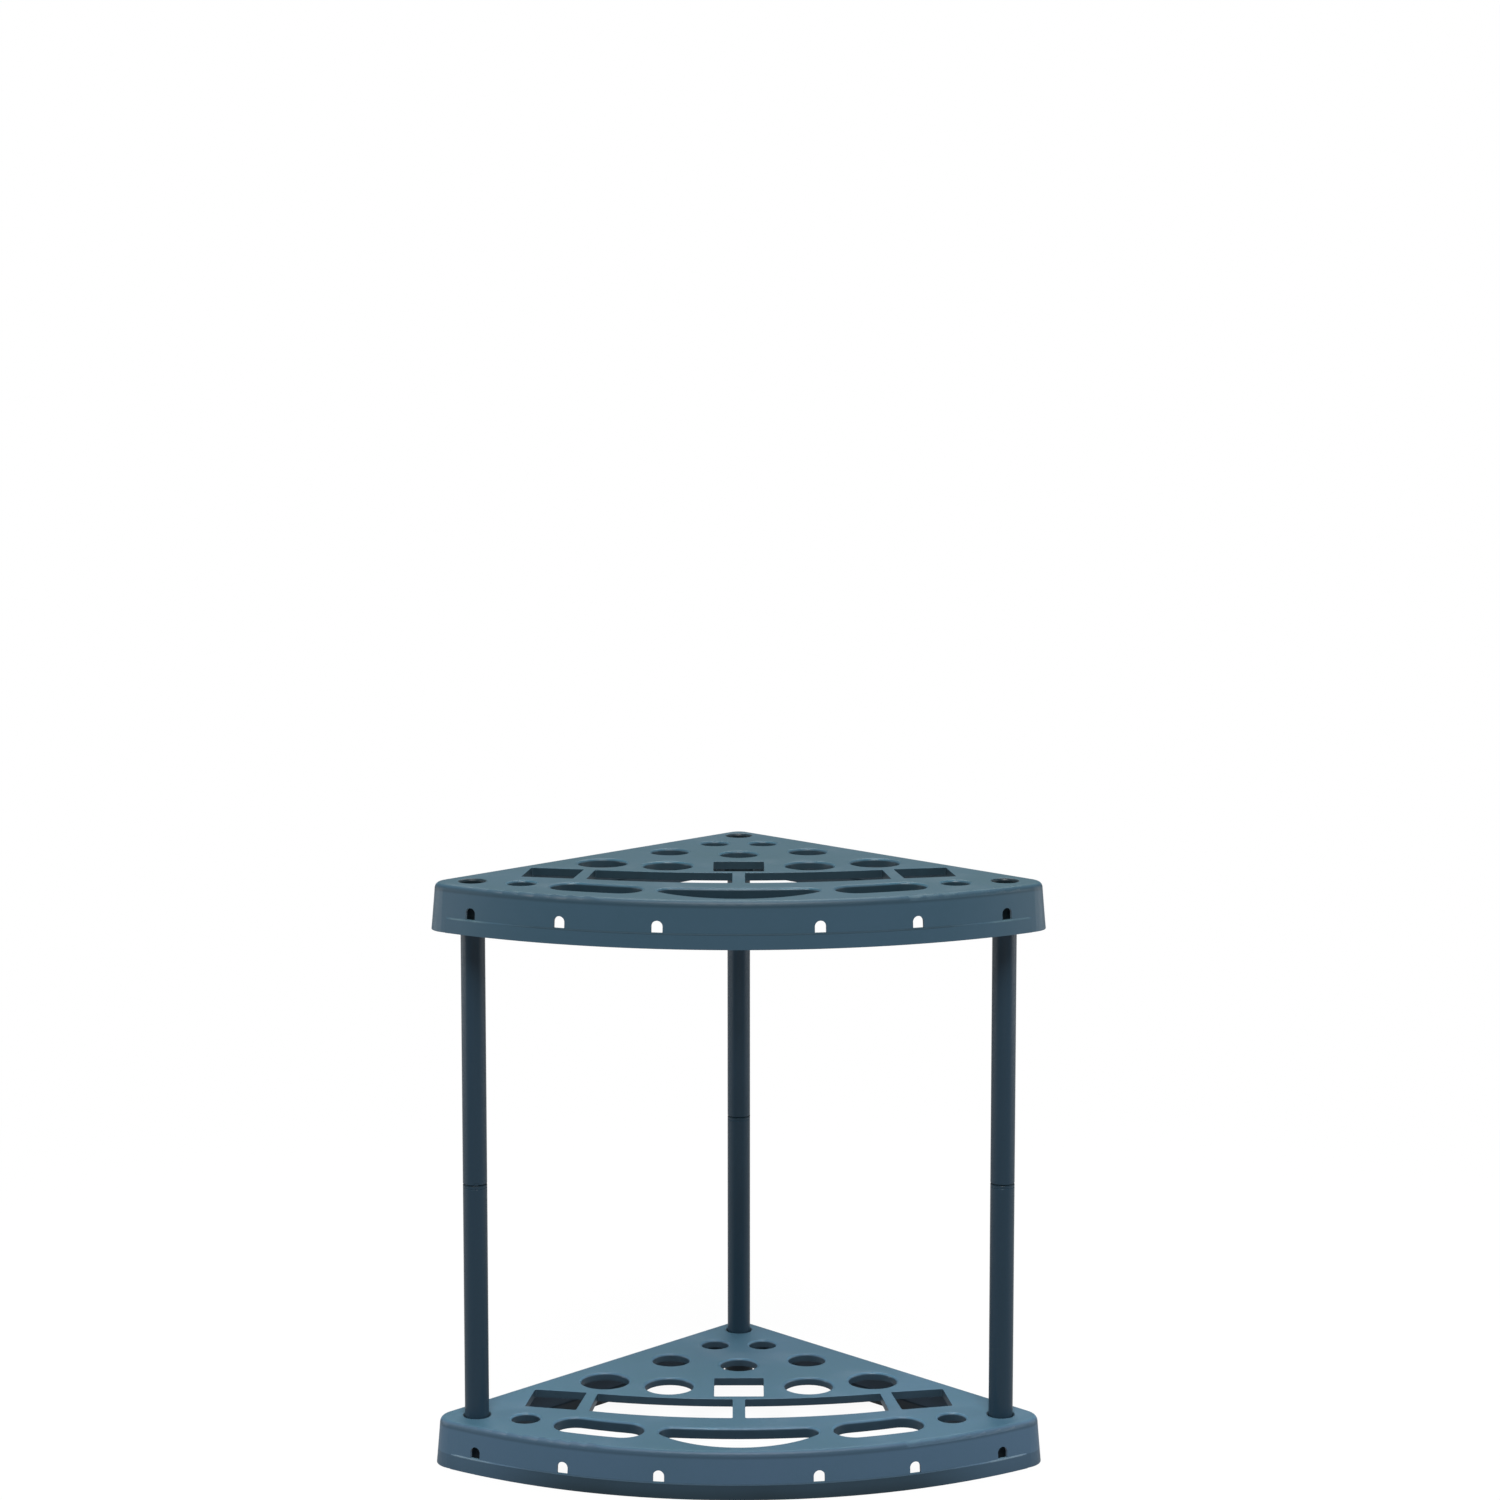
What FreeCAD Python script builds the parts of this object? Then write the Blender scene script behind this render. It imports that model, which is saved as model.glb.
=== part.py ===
import FreeCAD, Part
import Sketcher

import itertools
import math
import os
import re

# Freestanding corner rack for garden tools: two fan-shaped trays, one above the other, on three
# posts of two tubes each. Plan positions are measured from the line through the two front posts,
# X to the right and Y to the back. The finished rack stands on Z = 0, centred on its own box.

DIMENSIONS = (
    # Outline of a tray, at the bottom edge of its skirt
    ("front_radius", 520, "radius of the bowed front"),
    ("front_reach", 113.5, "front post line to the foremost point of the front"),
    ("back_reach", 305.3, "front post line to where the two straight sides would meet"),
    ("side_corner_radius", 25, "rounding of the left and right corners"),
    ("back_corner_radius", 19, "rounding of the back corner"),
    # Shell of a tray
    ("tray_height", 46, "overall height of a tray"),
    ("skirt_flare", 4, "how far the skirt leans out over its height"),
    ("shell_wall", 2.8, "thickness of the plate and the skirt"),
    ("shell_rounding", 5.5, "rounding between plate and skirt"),
    ("rim_rounding", 3, "rounding of the rims of the round and round-ended openings"),
    ("edge_rounding", 0.6, "rounding of the rims of the straight-sided openings"),
    ("collar_depth", 8, "top of the plate to the lower edge of the opening collars"),
    ("front_collar_depth", 11, "the same for the three openings along the front"),
    ("collar_wall", 2.2, "thickness of the opening collars"),
    # Raised band along the foot of the front skirt
    ("band_height", 15, "height of the band"),
    ("band_proud", 0.7, "how far the band stands in front of the skirt"),
    ("band_slope", 1, "drop of the band's sloping top, from the skirt to its face"),
    ("band_margin", 0.6, "angle between the end of the band and the rounded corner"),
    # Arched windows in the front skirt
    ("window_width", 11, "width of a window"),
    ("window_rise", 11.5, "height of a window, to the top of its arch"),
    ("window_first_angle", 8.6, "first window from the middle of the front, as an angle"),
    ("window_angle_step", 10.7, "angle from one window to the next"),
    ("window_cut", 10, "reach of the window cut to each side of the skirt's foot"),
    # Post sockets
    ("front_post_inset", 15, "front posts inwards from the centre of the corner rounding"),
    ("front_post_setback", 3.1, "front posts behind the centre of the corner rounding"),
    ("back_post_inset", 15.4, "back post in front of the centre of the back corner rounding"),
    ("socket_depth", 20, "depth of the socket in the top of a tray"),
    ("socket_web", 3, "floor between the upper and the lower socket"),
    ("socket_wall", 2.6, "wall of the socket boss"),
    ("socket_clearance", 0.2, "gap around a tube in its socket, on the radius"),
    ("boss_lift", 1, "lower end of the boss above the skirt's bottom edge"),
    ("gusset_thickness", 2.2, "thickness of the fins that brace a boss"),
    ("gusset_height", 14, "height of the fins below the plate"),
    ("gusset_inset", 1.15, "end of a fin behind the outer face of the skirt's top edge"),
    # Round openings
    ("small_hole", 28, "diameter of the small tool holes"),
    ("front_small_inset", 49, "front small holes inwards from the front posts"),
    ("front_small_forward", 11, "front small holes in front of the front posts"),
    ("back_small_x", 25, "back small holes from the middle"),
    ("back_small_y", 213, "back small holes behind the front post line"),
    ("medium_hole", 38, "diameter of the medium tool holes"),
    ("side_medium_x", 70.8, "outer medium holes from the middle"),
    ("side_medium_y", 163, "outer medium holes behind the front post line"),
    ("middle_medium_y", 148, "middle medium hole behind the front post line"),
    ("large_hole", 49, "diameter of the large tool holes"),
    ("inner_large_x", 71, "inner large holes from the middle"),
    ("inner_large_y", 82.5, "inner large holes behind the front post line"),
    ("outer_large_x", 137, "outer large holes from the middle"),
    ("outer_large_y", 98, "outer large holes behind the front post line"),
    # Square opening
    ("square_width", 50.5, "width of the square opening"),
    ("square_depth", 56, "depth of the square opening, front to back"),
    ("square_y", 78, "middle of the square opening behind the front post line"),
    ("corner_rounding", 2, "rounding of the corners of the straight-sided openings"),
    # Four-sided openings beside the large holes, by their corners
    ("pocket_near_left_x", 162.7, "near inner corner from the middle"),
    ("pocket_near_left_y", 10.6, "near inner corner behind the front post line"),
    ("pocket_near_right_x", 214, "near outer corner from the middle"),
    ("pocket_near_right_y", 22, "near outer corner behind the front post line"),
    ("pocket_far_right_x", 207, "far outer corner from the middle"),
    ("pocket_far_right_y", 72, "far outer corner behind the front post line"),
    ("pocket_far_left_x", 154, "far inner corner from the middle"),
    ("pocket_far_left_y", 62.5, "far inner corner behind the front post line"),
    # Two long bowed openings behind the front ones
    ("bow_web", 12.6, "bar between the two bowed openings"),
    ("bow_near_y", -13.3, "near edge, at the bar, from the front post line"),
    ("bow_far_y", 42, "far edge, at the bar, behind the front post line"),
    ("bow_near_end_x", 149.5, "near outer corner from the middle"),
    ("bow_near_end_y", 8.2, "near outer corner behind the front post line"),
    ("bow_far_end_x", 143, "far outer corner from the middle"),
    ("bow_far_end_y", 59, "far outer corner behind the front post line"),
    ("bow_near_radius", 520, "bow of the near edge"),
    ("bow_far_radius", 600, "bow of the far edge"),
    # Round-ended openings that follow the front on each side
    ("side_slot_inset", 53.5, "front edge to the middle line of a side slot"),
    ("side_slot_width", 41, "width of a side slot"),
    ("side_slot_start", 113.5, "centre of the inner round end from the middle"),
    ("side_slot_gap", 49.5, "centre of the outer round end inwards from the front small hole"),
    # Boat-shaped opening in the middle of the front
    ("boat_tip_x", 90.5, "tip, before rounding, from the middle"),
    ("boat_tip_y", -35.3, "tip, before rounding, from the front post line"),
    ("boat_rise", 58.9, "how far the near edge bows out in front of the tips"),
    ("boat_far_radius", 520, "bow of the far edge"),
    ("boat_rounding", 12.5, "rounding of the two tips"),
    # Posts
    ("tube_diameter", 24, "outer diameter of a tube"),
    ("tube_wall", 1.6, "wall of a tube"),
    ("tube_length", 279, "length of every tube"),
    ("neck_length", 24, "drawn-in end of a lower tube, inside the upper one"),
    ("neck_taper", 6, "length over which the bore narrows to the neck"),
    ("neck_bevel", 0.8, "bevel on the end of the neck"),
    ("neck_clearance", 0.15, "gap around the neck, on the radius"),
    ("joint_bevel", 0.9, "bevel on both edges of the joint"),
    ("ring_drop", 3.5, "fine ring groove below the joint"),
    ("ring_groove", 0.35, "depth of the ring groove"),
    ("lug_width", 3.6, "width of the locating lug at the joint"),
    ("lug_height", 3, "height of the locating lug"),
    ("lug_clearance", 0.15, "gap around the locating lug in its notch"),
    ("left_turn", 10, "turn of the left post, lug from the front"),
    ("right_turn", 150, "turn of the right post, as above"),
    ("back_turn", 100, "turn of the back post, as above"),
)

FORMULAS = (
    # Centre of the front arc, and the centre of the rounded left and right corners
    ("arc_centre_y", "=front_radius - front_reach"),
    ("corner_ring", "=front_radius - side_corner_radius"),
    ("corner_sum", "=back_reach - side_corner_radius * sqrt(2)"),
    ("corner_drop", "=arc_centre_y - corner_sum"),
    ("corner_x", "=(sqrt(2 * corner_ring ^ 2 - corner_drop ^ 2) - corner_drop) / 2"),
    ("corner_y", "=corner_sum - corner_x"),
    ("corner_angle", "=asin(corner_x / corner_ring)"),
    # Back corner, the middle of the depth, and the draft of the skirt
    ("back_corner_y", "=back_reach - back_corner_radius * sqrt(2)"),
    ("mid_y", "=(back_corner_y + back_corner_radius - front_reach - band_proud) / 2"),
    ("draft", "=atan(skirt_flare / tray_height)"),
    ("band_angle", "=corner_angle - band_margin * 1deg"),
    # Post centres, and what lies beside the front posts
    ("front_post_x", "=corner_x - front_post_inset"),
    ("front_post_y", "=corner_y + front_post_setback"),
    ("back_post_y", "=back_corner_y - back_post_inset"),
    ("front_small_x", "=front_post_x - front_small_inset"),
    ("front_small_y", "=front_post_y - front_small_forward"),
    ("side_slot_end", "=front_small_x - side_slot_gap"),
    # Edges of the openings
    ("bow_inner_x", "=bow_web / 2"),
    ("square_half", "=square_width / 2"),
    ("square_near_y", "=square_y - square_depth / 2"),
    ("square_far_y", "=square_y + square_depth / 2"),
    ("side_slot_reach", "=front_radius - side_slot_inset"),
    ("boat_near_radius", "=(boat_tip_x ^ 2 + boat_rise ^ 2) / (2 * boat_rise)"),
    ("side_slot_near", "=side_slot_reach + side_slot_width / 2"),
    ("side_slot_far", "=side_slot_reach - side_slot_width / 2"),
    # Sizes that fit another piece
    ("socket_bore", "=tube_diameter + 2 * socket_clearance"),
    ("lower_socket_depth", "=tray_height - socket_depth - socket_web"),
    ("tube_bore", "=tube_diameter - 2 * tube_wall"),
    ("neck_diameter", "=tube_bore - 2 * neck_clearance"),
    ("shank_length", "=tube_length - neck_length"),
    ("neck_bore", "=neck_diameter - 2 * tube_wall"),
    ("lug_face", "=sqrt(tube_diameter ^ 2 - lug_width ^ 2) / 2"),
    ("lug_root", "=(neck_diameter - tube_wall) / 2"),
    # Levels in the standing rack
    ("lower_tube_z", "=tray_height - socket_depth"),
    ("upper_tube_z", "=lower_tube_z + shank_length"),
    ("upper_tray_z", "=upper_tube_z + tube_length - lower_socket_depth"),
)

UP = FreeCAD.Vector(0, 0, 1)
ALIASES = {entry[0] for entry in DIMENSIONS + FORMULAS}
SIDES = (("right", ""), ("left", "-"))
POSTS = (
    ("left", "-front_post_x", "front_post_y", "left_turn"),
    ("right", "front_post_x", "front_post_y", "right_turn"),
    ("back", "0", "back_post_y", "back_turn"),
)
WINDOWS_EACH_SIDE = 3
COLLAR_FOOT = "tray_height - collar_depth"
FRONT_COLLAR_FOOT = "tray_height - front_collar_depth"
TOUCH = 0.001
# Share of the narrowest web between two openings that each of their rims may round off
WEB_SHARE = 0.48

# Sketch references: the origin, the upright axis, and the points of a line, arc or circle
ORIGIN = -1
Y_AXIS = -2
START = 1
END = 2
CENTRE = 3

doc = FreeCAD.newDocument("garden_tool_rack")
sheet = doc.addObject("Spreadsheet::Sheet", "Sizes")


def fill_sheet():
    """Write the driving dimensions, then the sizes worked out from them."""
    for row, (alias, size, meaning) in enumerate(DIMENSIONS, start=1):
        sheet.set(f"A{row}", meaning)
        sheet.set(f"B{row}", str(size))
        sheet.setAlias(f"B{row}", alias)
    for row, (alias, formula) in enumerate(FORMULAS, start=len(DIMENSIONS) + 1):
        sheet.set(f"A{row}", alias.replace("_", " "))
        sheet.set(f"B{row}", formula)
        sheet.setAlias(f"B{row}", alias)
    doc.recompute()


def number(formula):
    """Present value of a formula in the sheet's aliases, for first positions and tests."""
    result = sheet.evalExpression(formula)
    return float(getattr(result, "Value", result))


def spot(x, y):
    """Present place of a point given by two formulas."""
    return FreeCAD.Vector(number(x), number(y), 0)


def bind(thing, prop, formula):
    """Tie one property of an object to a formula in the sheet's aliases."""
    def reference(word):
        return "Sizes." + word[0] if word[0] in ALIASES else word[0]
    thing.setExpression(prop, re.sub(r"[a-z_]+", reference, formula))


class Drawing:
    """A sketch on one of its body's origin planes; its constraints go in together at the end."""

    def __init__(self, body, name, level="0", role="XY_Plane"):
        self.sketch = body.newObject("Sketcher::SketchObject", name)
        planes = [feature for feature in body.Origin.OriginFeatures if feature.Role == role]
        self.sketch.AttachmentSupport = [(planes[0], "")]
        self.sketch.MapMode = "FlatFace"
        bind(self.sketch, "AttachmentOffset.Base.z", level)
        self.constraints = []
        self.formulas = {}

    def draw(self, shape, guide=False):
        """Add a line, arc, circle or point."""
        return self.sketch.addGeometry(shape, guide)

    def relate(self, *terms):
        """Add a constraint that has no size."""
        self.constraints.append(Sketcher.Constraint(*terms))

    def measure(self, name, formula, *terms):
        """Add a constraint that has a size, and give it a name."""
        constraint = Sketcher.Constraint(*terms, number(formula))
        constraint.Name = name
        self.constraints.append(constraint)
        self.formulas[name] = formula

    def place(self, name, geometry, point, x, y):
        """Hold a point of the drawing at two formulas; x of 0 is the middle line."""
        if x == "0":
            self.relate("PointOnObject", geometry, point, Y_AXIS)
        else:
            self.measure(name + "_x", x, "DistanceX", ORIGIN, START, geometry, point)
        self.measure(name + "_y", y, "DistanceY", ORIGIN, START, geometry, point)

    def finish(self):
        """Put the constraints in and tie the sizes to the sheet."""
        self.sketch.addConstraint(self.constraints)
        for name, formula in self.formulas.items():
            bind(self.sketch, "Constraints." + name, formula)
        return self.sketch

    def circle(self, name, x, y, diameter):
        """Full circle."""
        shape = Part.Circle(spot(x, y), UP, number(diameter) / 2)
        circle = self.draw(shape)
        self.place(name, circle, CENTRE, x, y)
        self.measure(name + "_size", diameter, "Diameter", circle)

    def polygon(self, name, corners):
        """Closed outline of straight lines through corners given by formulas."""
        places = [spot(x, y) for x, y in corners]
        lines = []
        for index, place in enumerate(places):
            lines.append(self.draw(Part.LineSegment(place, places[(index + 1) % len(places)])))
        for index, (x, y) in enumerate(corners):
            self.relate("Coincident", lines[index - 1], END, lines[index], START)
            self.place(f"{name}_{index}", lines[index], START, x, y)

    def rounded_loop(self, name, corners, bows, rounding):
        """Anticlockwise outline through sharp corners, each then rounded off.

        A bow is None for a straight edge, or the formula for the radius of a bowed one, with a
        minus sign where the edge bends into the outline.
        """
        count = len(corners)
        sharp = [spot(x, y) for x, y in corners]
        radii = [bow and number(bow) for bow in bows]
        radius = number(rounding)
        arrive = []
        leave = []
        turns = []
        for index, corner in enumerate(sharp):
            before = heading(corner, sharp[index - 1], corner, radii[index - 1])
            after = heading(corner, corner, sharp[(index + 1) % count], radii[index])
            trim = radius * math.tan(before.getAngle(after) / 2)
            arrive.append(corner - before * trim)
            leave.append(corner + after * trim)
            turns.append(arrive[-1] + UP.cross(before) * radius)
        edges = []
        for index, start in enumerate(leave):
            after = (index + 1) % count
            edges.append(self.draw(edge_between(
                start, arrive[after], sharp[index], sharp[after], radii[index])))
        rounds = []
        for index, centre in enumerate(turns):
            rounds.append(self.draw(arc_between(centre, arrive[index], leave[index])))
        for index, (x, y) in enumerate(corners):
            corner = self.draw(Part.Point(sharp[index]), True)
            self.place(f"{name}_{index}", corner, START, x, y)
            self.relate("PointOnObject", corner, START, edges[index])
            self.relate("PointOnObject", corner, START, edges[index - 1])
        for index, turn in enumerate(rounds):
            inward = END if (radii[index - 1] or 1) > 0 else START
            outward = START if (radii[index] or 1) > 0 else END
            self.relate("Tangent", edges[index - 1], inward, turn, START)
            self.relate("Tangent", turn, END, edges[index], outward)
            if bows[index]:
                bow = bows[index].lstrip("-")
                self.measure(f"{name}_bow_{index}", bow, "Radius", edges[index])
            if index:
                self.relate("Equal", rounds[0], turn)
        self.measure(name + "_rounding", rounding, "Radius", rounds[0])


def bulge_centre(start, end, radius):
    """Centre of the arc from start to end; a positive radius has it on the left of the travel."""
    chord = end - start
    left = UP.cross(chord).normalize()
    rise = math.sqrt(radius ** 2 - (chord.Length / 2) ** 2)
    return (start + end) * 0.5 + left * math.copysign(rise, radius)


def heading(point, start, end, radius):
    """Direction of travel at a point of an edge, straight or bowed."""
    if radius is None:
        return (end - start).normalize()
    outward = point - bulge_centre(start, end, radius)
    return UP.cross(outward).normalize() * math.copysign(1, radius)


def arc_between(centre, start, end):
    """Anticlockwise arc about a centre."""
    first = math.atan2(start.y - centre.y, start.x - centre.x)
    last = math.atan2(end.y - centre.y, end.x - centre.x)
    return Part.ArcOfCircle(Part.Circle(centre, UP, (start - centre).Length), first, last)


def edge_between(start, end, corner, next_corner, radius):
    """Straight or bowed edge, trimmed to the roundings at its two corners."""
    if radius is None:
        return Part.LineSegment(start, end)
    centre = bulge_centre(corner, next_corner, radius)
    if radius > 0:
        return arc_between(centre, start, end)
    return arc_between(centre, end, start)


def tray_outline(body):
    """Quarter-round outline: bowed front, two straight sides at a right angle, three roundings."""
    drawing = Drawing(body, "Outline")
    centre = spot("0", "arc_centre_y")
    right = spot("corner_x", "corner_y")
    left = spot("-corner_x", "corner_y")
    back = spot("0", "back_corner_y")
    side_radius = number("side_corner_radius")
    back_radius = number("back_corner_radius")
    rightwards = FreeCAD.Vector(1, 1, 0).normalize()
    leftwards = FreeCAD.Vector(-1, 1, 0).normalize()
    front_right = right + (right - centre).normalize() * side_radius
    front_left = left + (left - centre).normalize() * side_radius
    side_right = right + rightwards * side_radius
    side_left = left + leftwards * side_radius
    back_right = back + rightwards * back_radius
    back_left = back + leftwards * back_radius
    ring = [drawing.draw(shape) for shape in (
        arc_between(centre, front_left, front_right),
        arc_between(right, front_right, side_right),
        Part.LineSegment(side_right, back_right),
        arc_between(back, back_right, back_left),
        Part.LineSegment(back_left, side_left),
        arc_between(left, side_left, front_left),
    )]
    front, right_round, right_side, back_round, left_side, left_round = ring
    for index, edge in enumerate(ring):
        drawing.relate("Tangent", edge, END, ring[(index + 1) % len(ring)], START)
    drawing.place("front_centre", front, CENTRE, "0", "arc_centre_y")
    drawing.measure("front_bow", "front_radius", "Radius", front)
    drawing.measure("right_rounding", "side_corner_radius", "Radius", right_round)
    drawing.measure("left_rounding", "side_corner_radius", "Radius", left_round)
    drawing.measure("back_rounding", "back_corner_radius", "Radius", back_round)
    meeting = drawing.draw(Part.Point(spot("0", "back_reach")), True)
    drawing.place("sides_meet", meeting, START, "0", "back_reach")
    drawing.relate("PointOnObject", meeting, START, right_side)
    drawing.relate("PointOnObject", meeting, START, left_side)
    drawing.relate("Angle", right_side, math.radians(135))
    drawing.relate("Angle", left_side, math.radians(225))
    return drawing.finish()


def side_slot(drawing, name, sign):
    """Round-ended opening that runs parallel to the front."""
    middle = spot("0", "arc_centre_y")
    reach = number("side_slot_reach")
    half = number("side_slot_width") / 2
    ends = sorted((sign + "side_slot_start", sign + "side_slot_end"), key=number)
    places = []
    for end in ends:
        across = number(end)
        places.append(middle + FreeCAD.Vector(across, -math.sqrt(reach ** 2 - across ** 2), 0))
    first, last = places
    to_first = (first - middle).normalize() * half
    to_last = (last - middle).normalize() * half
    near = drawing.draw(arc_between(middle, first + to_first, last + to_last))
    last_cap = drawing.draw(arc_between(last, last + to_last, last - to_last))
    far = drawing.draw(arc_between(middle, first - to_first, last - to_last))
    first_cap = drawing.draw(arc_between(first, first - to_first, first + to_first))
    drawing.relate("Tangent", near, END, last_cap, START)
    drawing.relate("Tangent", last_cap, END, far, END)
    drawing.relate("Tangent", far, START, first_cap, START)
    drawing.relate("Tangent", first_cap, END, near, START)
    drawing.place(name + "_slot", near, CENTRE, "0", "arc_centre_y")
    drawing.relate("Coincident", near, CENTRE, far, CENTRE)
    drawing.measure(name + "_slot_near", "side_slot_near", "Radius", near)
    drawing.measure(name + "_slot_far", "side_slot_far", "Radius", far)
    drawing.measure(name + "_slot_first", ends[0], "DistanceX", ORIGIN, START, first_cap, CENTRE)
    drawing.measure(name + "_slot_last", ends[1], "DistanceX", ORIGIN, START, last_cap, CENTRE)


def side_openings(body, name, sign):
    """Four-sided opening and long bowed opening of one half."""
    pocket = [(sign + f"pocket_{corner}_x", f"pocket_{corner}_y") for corner in (
        "near_left", "near_right", "far_right", "far_left")]
    bow = [
        (sign + "bow_inner_x", "bow_near_y"),
        (sign + "bow_near_end_x", "bow_near_end_y"),
        (sign + "bow_far_end_x", "bow_far_end_y"),
        (sign + "bow_inner_x", "bow_far_y"),
    ]
    bows = ["bow_near_radius", None, "-bow_far_radius", None]
    if sign:
        # The left half is drawn the other way round, so that it stays anticlockwise.
        pocket.reverse()
        bow.reverse()
        bows = ["-bow_far_radius", None, "bow_near_radius", None]
    drawing = Drawing(body, f"Openings_{name}", COLLAR_FOOT)
    drawing.rounded_loop("pocket", pocket, [None] * len(pocket), "corner_rounding")
    drawing.rounded_loop("bow", bow, bows, "corner_rounding")
    return drawing.finish()


def square_opening(body):
    """Square opening on the middle line."""
    drawing = Drawing(body, "Openings_square", COLLAR_FOOT)
    square = (
        ("-square_half", "square_near_y"),
        ("square_half", "square_near_y"),
        ("square_half", "square_far_y"),
        ("-square_half", "square_far_y"),
    )
    drawing.rounded_loop("square", square, [None] * len(square), "corner_rounding")
    return drawing.finish()


def front_openings(body):
    """Boat-shaped opening in the middle of the front, and a round-ended slot on each side of it."""
    drawing = Drawing(body, "Openings_front", FRONT_COLLAR_FOOT)
    tips = (("-boat_tip_x", "boat_tip_y"), ("boat_tip_x", "boat_tip_y"))
    drawing.rounded_loop("boat", tips, ("boat_near_radius", "-boat_far_radius"), "boat_rounding")
    for name, sign in SIDES:
        side_slot(drawing, name, sign)
    return drawing.finish()


def round_openings(body):
    """All the round tool holes."""
    drawing = Drawing(body, "Openings_round", COLLAR_FOOT)
    drawing.circle("middle_medium", "0", "middle_medium_y", "medium_hole")
    for name, sign in SIDES:
        for hole, diameter in (
            ("front_small", "small_hole"),
            ("back_small", "small_hole"),
            ("side_medium", "medium_hole"),
            ("inner_large", "large_hole"),
            ("outer_large", "large_hole"),
        ):
            drawing.circle(f"{name}_{hole}", f"{sign}{hole}_x", f"{hole}_y", diameter)
    return drawing.finish()


def post_circles(body, name, level, diameter):
    """One circle on each post centre."""
    drawing = Drawing(body, name, level)
    for post, x, y, _ in POSTS:
        drawing.circle(post, x, y, diameter)
    return drawing.finish()


def gusset_lines(body):
    """Fins from each socket boss out to the skirt, as narrow rectangles across the bosses."""
    drawing = Drawing(body, "GussetLines", "tray_height - shell_wall - gusset_height")
    half = "gusset_thickness / 2"
    edge = "(skirt_flare + gusset_inset)"
    front_end = f"arc_centre_y - sqrt((front_radius - {edge}) ^ 2 - front_post_x ^ 2)"
    side_end = f"back_reach - front_post_x - {edge} * sqrt(2)"
    back_end = f"back_reach - back_post_y - {edge} * sqrt(2)"
    for name, sign in SIDES:
        drawing.polygon(name, (
            (f"{sign}(front_post_x - {half})", front_end),
            (f"{sign}(front_post_x + {half})", front_end),
            (f"{sign}(front_post_x + {half})", side_end),
            (f"{sign}(front_post_x - {half})", side_end),
        ))
    drawing.polygon("back", (
        (f"-({back_end})", f"back_post_y - {half}"),
        (back_end, f"back_post_y - {half}"),
        (back_end, f"back_post_y + {half}"),
        (f"-({back_end})", f"back_post_y + {half}"),
    ))
    return drawing.finish()


def edges_where(shape, test):
    """Names of the edges that pass a test."""
    return [f"Edge{place}" for place, edge in enumerate(shape.Edges, start=1) if test(edge)]


def lies_at(piece, level):
    """Whether an edge or a face lies flat at a level."""
    box = piece.BoundBox
    return abs(box.ZMin - level) < TOUCH and abs(box.ZMax - level) < TOUCH


def narrowest_web(plate):
    """Least distance between two outlines in a face."""
    return min(one.distToShape(other)[0] for one, other in itertools.combinations(plate.Wires, 2))


def outline_faces(body, name, outlines, distance="0"):
    """Faces inside some outlines, grown or shrunk by a distance."""
    binder = body.newObject("PartDesign::SubShapeBinder", name)
    binder.Support = [(outline, ("",)) for outline in outlines]
    binder.MakeFace = True
    binder.OffsetJoinType = "Arcs"
    bind(binder, "Offset", distance)
    return binder


def pad(body, name, profile, length, draft="0"):
    """Solid raised upwards from a profile."""
    feature = body.newObject("PartDesign::Pad", name)
    feature.Profile = profile
    bind(feature, "Length", length)
    bind(feature, "TaperAngle", draft)
    doc.recompute()
    return feature


def cut_through(body, name, profile, reverse=True):
    """Cut from a profile through everything above it, or below it where not reversed."""
    feature = body.newObject("PartDesign::Pocket", name)
    feature.Profile = profile
    feature.Reversed = reverse
    feature.Type = "ThroughAll"
    doc.recompute()
    return feature


def round_edges(body, name, base, edges, radius):
    """Rounding of some edges of the feature before."""
    feature = body.newObject("PartDesign::Fillet", name)
    feature.Base = (base, edges)
    bind(feature, "Radius", radius)
    doc.recompute()
    return feature


def tray_shell(body):
    """Plate and flared skirt, hollow below."""
    outline = tray_outline(body)
    block = pad(body, "Block", outline, "tray_height", "-draft")
    top = number("tray_height")
    edges = edges_where(block.Shape, lambda edge: lies_at(edge, top))
    round_edges(body, "Crown", block, edges, "shell_rounding")
    hollow = body.newObject("PartDesign::Pocket", "Hollow")
    hollow.Profile = outline_faces(body, "InnerOutline", [outline], "-shell_wall")
    hollow.Reversed = True
    bind(hollow, "Length", "tray_height - shell_wall")
    bind(hollow, "TaperAngle", "-draft")
    doc.recompute()
    ceiling = number("tray_height - shell_wall")
    edges = edges_where(hollow.Shape, lambda edge: lies_at(edge, ceiling))
    round_edges(body, "CrownInside", hollow, edges, "shell_rounding - shell_wall")


def is_straight_sided(outline):
    """Whether an outline has a straight edge."""
    return any(isinstance(edge.Curve, Part.Line) for edge in outline.Edges)


def round_rims(body, name, base, straight_sided, radius):
    """Round the rims of either the straight-sided or the curved openings in the plate."""
    top = number("tray_height")
    plate = max((face for face in base.Shape.Faces if lies_at(face, top)), key=lambda f: f.Area)
    rims = [edge for outline in plate.Wires for edge in outline.Edges
            if not outline.isSame(plate.OuterWire) and is_straight_sided(outline) == straight_sided]
    edges = edges_where(base.Shape, lambda edge: any(edge.isSame(other) for other in rims))
    limit = WEB_SHARE * narrowest_web(plate)
    return round_edges(body, name, base, edges, f"min({radius}; {limit})")


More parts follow.
